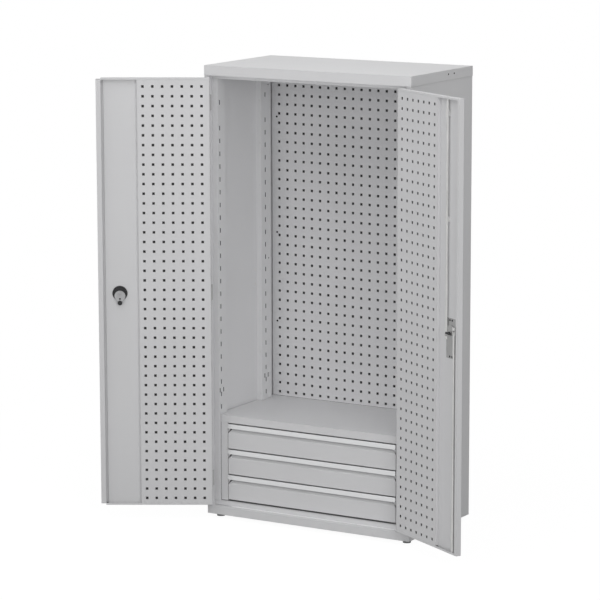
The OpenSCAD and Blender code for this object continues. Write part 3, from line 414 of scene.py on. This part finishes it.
def piece(name, bm, material, body, smooth=True):
    """Makes an object of a mesh and lets it ride on a body."""
    bmesh.ops.remove_doubles(bm, verts=bm.verts, dist=1e-6)
    bmesh.ops.recalc_face_normals(bm, faces=bm.faces)
    for face in bm.faces:
        face.smooth = smooth
    mesh = bpy.data.meshes.new(name)
    bm.to_mesh(mesh)
    bm.free()
    mesh.materials.append(material)
    if smooth:
        mesh.set_sharp_from_angle(angle=math.radians(35))
    made = bpy.data.objects.new(name, mesh)
    bpy.context.scene.collection.objects.link(made)
    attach(made, body)
    return made


def turned(profile, steps=48):
    """A body turned about +Z from (radius, height) points that start and end on the axis."""
    bm = bmesh.new()
    verts = [bm.verts.new((r * MM, 0, h * MM)) for r, h in profile]
    edges = [bm.edges.new(pair) for pair in zip(verts, verts[1:])]
    bmesh.ops.spin(
        bm, geom=verts + edges, cent=(0, 0, 0), axis=(0, 0, 1), angle=2 * math.pi,
        steps=steps, use_merge=True)
    bmesh.ops.remove_doubles(bm, verts=bm.verts, dist=1e-7)
    return bm


def rounded_bar(size, radius, segments=3):
    """Bar about the origin with all its edges rounded."""
    bm = bmesh.new()
    bmesh.ops.create_cube(bm, size=1.0)
    bmesh.ops.scale(bm, vec=Vector(size) * MM, verts=bm.verts)
    bmesh.ops.bevel(
        bm, geom=bm.edges, offset=radius * MM, segments=segments, profile=0.5,
        affect="EDGES", material=-1)
    return bm


def joined(parts):
    """Copies of small meshes, each with its place, in one mesh."""
    whole = bmesh.new()
    for bm, matrix in parts:
        bmesh.ops.transform(bm, matrix=matrix, verts=bm.verts)
        spare = bpy.data.meshes.new("spare")
        bm.to_mesh(spare)
        whole.from_mesh(spare)
        bpy.data.meshes.remove(spare)
        bm.free()
    return whole


def cut(bm, tool):
    """Takes a tool body away from a mesh."""
    made = []
    for data in (bm, tool):
        mesh = bpy.data.meshes.new("cutting")
        data.to_mesh(mesh)
        data.free()
        made.append(bpy.data.objects.new("cutting", mesh))
        bpy.context.scene.collection.objects.link(made[-1])
    change = made[0].modifiers.new("cut", "BOOLEAN")
    change.object = made[1]
    change.solver = "EXACT"
    bpy.context.view_layer.update()
    graph = bpy.context.evaluated_depsgraph_get()
    result = bmesh.new()
    result.from_object(made[0], graph)
    for spare in made:
        mesh = spare.data
        bpy.data.objects.remove(spare)
        bpy.data.meshes.remove(mesh)
    return result


SMALL_STEPS = 24
SLOT_RATIO = 0.26


def screw_head(d, h, socket):
    """Domed screw head on the XY plane with a cross recess as wide as the socket."""
    r = d / 2
    bm = turned([(0, 0), (r, 0), (r, h * 0.35), (r * 0.93, h * 0.65), (r * 0.72, h * 0.9),
                 (r * 0.4, h), (0, h)], SMALL_STEPS)
    up = Matrix.Translation((0, 0, h * 0.95 * MM))
    for width, depth in ((socket, socket * SLOT_RATIO), (socket * SLOT_RATIO, socket)):
        bm = cut(bm, joined([(rounded_bar((width, depth, h * 1.2), 0.05, 1), up)]))
    return bm


# ---------------------------------------------------------------- screws and welds

SIDES = (-1, 1)
TO_FRONT = (0, -1, 0)
TO_BACK = (0, 1, 0)
# heads: diameter, height and width of the recess; then where they sit
PANEL_HEAD = (8, 2.2, 4.4)
PANEL_HEAD_X = 410
PANEL_HEAD_Y = 217.35
PANEL_HEAD_ROWS = (1558.0, 1088.7, 723.9)
COVER_HEAD = (7, 1.55, 3.8)
COVER_HEAD_X = 457.53
COVER_HEAD_YS = (46, 93)
COVER_HEAD_Z = 1784


def make_screws():
    heads = [(screw_head(*PANEL_HEAD),
              facing_out(sx * PANEL_HEAD_X, PANEL_HEAD_Y, z, TO_FRONT))
             for sx in SIDES for z in PANEL_HEAD_ROWS]
    screws = piece("panel_screw_heads", joined(heads), black_screw, "carcass")
    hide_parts("back_panel_screws")
    heads = [(screw_head(*COVER_HEAD),
              facing_out(sx * COVER_HEAD_X, y, COVER_HEAD_Z, (sx, 0, 0)))
             for sx in SIDES for y in COVER_HEAD_YS]
    screws = piece("cover_screw_heads", joined(heads), black_screw, "carcass")
    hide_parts("cover_screws")


WELD_PROFILE = [(0, -0.3), (4.2, -0.3), (4.0, 0.12), (3.0, 0.22), (2.2, 0.1), (0, 0.08)]
WELD_STEPS = 20
WELD_Y = 248.2
WELD_HEIGHTS = [1633 - n * 170 for n in range(8)]
# columns: distance from the middle, y, way out; rows near the floor: y, z, way out
WELD_COLUMNS = ((420, 100.0, TO_FRONT), (448, -WELD_Y, TO_FRONT), (445, WELD_Y, TO_BACK))
WELD_ROW_XS = range(-400, 401, 100)
WELD_ROWS = ((-WELD_Y, 26, TO_FRONT), (WELD_Y, 30, TO_BACK))


def make_weld_marks():
    """Shallow spot weld dimples under the paint, where the sheets lie on each other."""
    places = [facing_out(sx * x, y, z, out)
              for z in WELD_HEIGHTS for sx in SIDES for x, y, out in WELD_COLUMNS]
    places += [facing_out(x, y, z, out) for x in WELD_ROW_XS for y, z, out in WELD_ROWS]
    spots = [(turned(WELD_PROFILE, WELD_STEPS), place) for place in places]
    piece("weld_marks", joined(spots), cabinet_paint, "carcass")


NUT_PROFILE = [(2.6, -4.0), (3.4, -4.0), (3.4, 0.05), (5.8, 0.05), (5.8, 0.5), (5.2, 0.9),
               (2.9, 0.9), (2.6, 0.6), (2.6, -4.0)]
NUT_YS = (-137.0, 91.0)
NUT_ZS = (892.5, 949.0)


def make_joining_nuts():
    """Zinc plated blind nuts in the joining holes of both inner walls."""
    nuts = [(turned(NUT_PROFILE, SMALL_STEPS), facing_out(sx * WALL_X, y, z, (-sx, 0, 0)))
            for sx in SIDES for y in NUT_YS for z in NUT_ZS]
    piece("joining_nuts", joined(nuts), nut_zinc, "carcass")


FRONT_HALF = 378.7
FRONT_CORNER_TOPS = (362.5, 258.93, 155.37)
CORNER_CUT = (16.0, 23.0)
CORNER_LAP = (5.2, 7.5)
CORNER_PLAY = (0.2, 0.4)
BEHIND_FRONT = 1.3


def make_front_corners():
    """Folded ends of each drawer front, seen behind its cut upper corners."""
    wide, tall = CORNER_CUT
    lap_x, lap_z = CORNER_LAP
    play_x, play_z = CORNER_PLAY
    for number, top in enumerate(FRONT_CORNER_TOPS, 1):
        ends = bmesh.new()
        for sx in SIDES:
            corner = [(FRONT_HALF - play_x, -tall + lap_z), (FRONT_HALF - play_x, -play_z),
                      (FRONT_HALF - wide + lap_x, -play_z)]
            flat = ends.faces.new([
                ends.verts.new((sx * x * MM, (FRONT_FACE_Y + BEHIND_FRONT) * MM, (top + z) * MM))
                for x, z in corner])
            grown = bmesh.ops.extrude_face_region(ends, geom=[flat], use_keep_orig=True)
            bmesh.ops.translate(
                ends, vec=(0, SHEET * MM, 0),
                verts=[part for part in grown["geom"] if isinstance(part, bmesh.types.BMVert)])
        piece(f"drawer_{number}_front_corners", ends, cabinet_paint, f"drawer_{number}",
              False)


# ---------------------------------------------------------------- left door lock

# heights of the lock and bolts count inwards from the door's outer face
LOCK_U = 357.0
LOCK_Z = 909.0
SPINDLE_END = 16.3
ROLLER_DROP = 38
LARGE_STEPS = 64
HOUSING_BORE = 8.2
KNOB_BORE = 6.7


def ring_edge(r, h0, h1, soft=1.2):
    """Profile points of a rounded outer edge between two heights."""
    step = soft * 0.3
    return [(r - soft, h0), (r - step, h0 + step), (r, h0 + soft),
            (r, h1 - soft), (r - step, h1 - step), (r - soft, h1)]


def door_piece(name, bm, side, place, material, body):
    """A piece of a door, at (u, y, z) of that door."""
    return piece(name, joined([(bm, door_place(side, *place))]), material, body)


def make_lock():
    rose = [(HOUSING_BORE, -3.0)] + ring_edge(33, -3.0, -0.05) + [(24, -0.05), (24, 9.05)]
    ring = ring_edge(29.5, 9.05, 13.0) + [
        (24.5, 13.0), (23.5, 12.2), (20.5, 12.2), (19.5, 13.0), (HOUSING_BORE, 13.0),
        (HOUSING_BORE, -3.0)]
    place = (LOCK_U, 0, LOCK_Z)
    housing = door_piece(
        "lock_rose_and_ring", turned(rose + ring, LARGE_STEPS), -1, place,
        black_moulding, "left_door")
    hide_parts("lock_housing")

    # knob: turned disc with a two-sided grip, open in the middle for the cylinder
    base = turned([(KNOB_BORE, -3.3), (22.2, -3.3), (23, -4.0), (23, -7.2), (22.2, -8.3),
                   (KNOB_BORE, -8.3), (KNOB_BORE, -3.3)], LARGE_STEPS)
    bore = turned([(0, -12), (KNOB_BORE, -12), (KNOB_BORE, 12), (0, 12)], 32)
    grip = cut(rounded_bar((21.5, 44, 12.6), 2.6, 4), bore)
    barrel = turned([(KNOB_BORE, -3.4), (7.98, -3.4), (7.98, 15.9), (7.6, SPINDLE_END),
                     (0, SPINDLE_END), (0, -1.0), (KNOB_BORE, -1.0), (KNOB_BORE, -3.4)])
    knob = joined([
        (base, Matrix.Identity(4)), (grip, Matrix.Translation((0, 0, -14.0 * MM))),
        (barrel, Matrix.Identity(4))])
    knob = door_piece(
        "lock_knob_grip", knob, -1, place, cam_zinc, "left_lock")
    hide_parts("lock_knob")

    # the screw that holds the cam on the spindle
    door_piece(
        "cam_screw", screw_head(9, 1.2, 5.5), -1, (LOCK_U, SPINDLE_END, LOCK_Z), cam_zinc,
        "left_lock")

    roller = turned([(0, 16.36), (8.0, 16.36), (9, 17.2), (9, 18.9), (8.2, 19.85), (0, 19.85)], 40)
    roller = door_piece(
        "cam_roller_disc", roller, -1, (LOCK_U, 0, LOCK_Z - ROLLER_DROP), black_moulding,
        "left_lock")
    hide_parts("lock_roller")


# ---------------------------------------------------------------- right door bolts

BOLT_U = 366.0
BOLT_Z = 888.0
GRIP_HEIGHT = 24.5
PLATE_FACE = 11.0
PLATE_MIDDLE = BOLT_Z - 20
PLATE_HEAD = (7.5, 2.2, 4.2)


def make_bolts():
    bar = rounded_bar((34, 8, 5), 1.6)
    stem = turned([(0, 17.75), (6, 17.75), (6, 22.6), (5, 23.6), (0, 23.6)], 32)
    grip = joined([
        (bar, Matrix.Translation((0, 0, GRIP_HEIGHT * MM))), (stem, Matrix.Identity(4))])
    grip = door_piece(
        "bolt_grip_bar", grip, 1, (BOLT_U, 0, BOLT_Z), black_moulding, "bolt_lever")
    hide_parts("bolt_grip")
    heads = [(screw_head(*PLATE_HEAD), door_place(1, BOLT_U + dx, PLATE_FACE, PLATE_MIDDLE + dz))
             for dx in (-8, 8) for dz in (-68, 68)]
    piece("base_plate_screws", joined(heads), black_screw, "right_door")


make_screws()
make_weld_marks()
make_joining_nuts()
make_front_corners()
make_lock()
make_bolts()

# ---------------------------------------------------------------- floor, light, camera


def soft_light(name, place, aim, size, power):
    """Rectangular softbox that looks at a point."""
    lamp = bpy.data.lights.new(name, "AREA")
    lamp.shape = "RECTANGLE"
    lamp.size, lamp.size_y = size
    lamp.energy = power
    made = bpy.data.objects.new(name, lamp)
    made.location = place
    made.rotation_euler = (Vector(aim) - Vector(place)).to_track_quat("-Z", "Y").to_euler()
    bpy.context.scene.collection.objects.link(made)


FLOOR_BOUNCE = (0.38, 0.38, 0.38)
FLOOR_SEEN = (0.85, 0.85, 0.85)
# the shadow fades between these distances, and the floor is even white beyond
SHADOW_REACH = (900.0, 2600.0)
NEAR_WHITE = 1.065
NEAR_SHARE = 0.9


def make_floor():
    """Floor that is white to the eye, with a faint shadow close to the cabinet."""
    mat = Mat("pale_floor")
    path = mat.node("ShaderNodeLightPath")
    seen = Val(mat, path.outputs["Is Camera Ray"]) + Val(mat, path.outputs["Is Glossy Ray"])
    x = mat.along((1, 0, 0))
    y = mat.along((0, 1, 0))
    near, beyond = SHADOW_REACH
    far = mat.ramp(x * x + y * y, near ** 2, beyond ** 2)
    lit = mat.node("ShaderNodeBsdfDiffuse", None,
                   {"Color": mat.tint(seen, FLOOR_BOUNCE, FLOOR_SEEN)}, "BSDF")
    white = mat.node(
        "ShaderNodeEmission", None,
        {"Color": (1, 1, 1, 1), "Strength": NEAR_WHITE - far * (NEAR_WHITE - 1)}, "Emission")
    share = seen * (NEAR_SHARE + far * (1 - NEAR_SHARE))
    mixed = mat.node("ShaderNodeMixShader", None, {0: share, 1: lit, 2: white}, "Shader")
    mat.node("ShaderNodeOutputMaterial", None, {"Surface": mixed})
    bm = bmesh.new()
    bmesh.ops.create_grid(bm, x_segments=1, y_segments=1, size=14)
    mesh = bpy.data.meshes.new("floor")
    bm.to_mesh(mesh)
    bm.free()
    mesh.materials.append(mat.data)
    floor = bpy.data.objects.new("floor", mesh)
    bpy.context.scene.collection.objects.link(floor)
    floor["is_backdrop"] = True


ROOM_LEVEL = 0.25


def make_world():
    """Even room light on the object, and a white backdrop for the camera."""
    world = bpy.data.worlds.new("studio")
    bpy.context.scene.world = world
    world.use_nodes = True
    tree = world.node_tree
    tree.nodes.clear()
    path = tree.nodes.new("ShaderNodeLightPath")
    mix = tree.nodes.new("ShaderNodeMixShader")
    out = tree.nodes.new("ShaderNodeOutputWorld")
    for number, strength in enumerate((ROOM_LEVEL, 1.0)):
        sky = tree.nodes.new("ShaderNodeBackground")
        sky.inputs["Color"].default_value = (1, 1, 1, 1)
        sky.inputs["Strength"].default_value = strength
        tree.links.new(sky.outputs[0], mix.inputs[number + 1])
    seen = tree.nodes.new("ShaderNodeMath")
    seen.operation = "MAXIMUM"
    tree.links.new(path.outputs["Is Camera Ray"], seen.inputs[0])
    tree.links.new(path.outputs["Is Glossy Ray"], seen.inputs[1])
    tree.links.new(seen.outputs[0], mix.inputs[0])
    tree.links.new(mix.outputs[0], out.inputs["Surface"])


def make_camera():
    lens = bpy.data.cameras.new("camera")
    lens.sensor_width = 36.0
    lens.lens = 171.88
    lens.shift_x = -0.0565
    lens.shift_y = 0.0017
    camera = bpy.data.objects.new("camera", lens)
    camera.location = (5.5241, -9.6016, 2.8273)
    camera.rotation_euler = (math.radians(80), 0, math.radians(30))
    bpy.context.scene.collection.objects.link(camera)
    bpy.context.scene.camera = camera


make_floor()
make_world()
# place, aim, size (m) and power (W)
soft_light("top_softbox", (0.2, -1.0, 4.4), (0, 0, 1.2), (4.5, 4.0), 65)
soft_light("front_softbox", (0.2, -5.0, 1.6), (0, 0, 1.3), (3.8, 2.8), 35)
soft_light("right_softbox", (3.7, -3.2, 1.9), (0, 0, 1.3), (2.6, 2.6), 60)
soft_light("left_softbox", (-3.7, -3.4, 1.7), (0.3, 0, 1.1), (2.6, 2.6), 28)
make_camera()

bpy.context.scene.view_settings.view_transform = "Standard"


def plain(value):
    return [plain(part) for part in value] if hasattr(value, "__len__") else float(value)


{"cad": plain(cad_box), "visual": plain(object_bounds())}
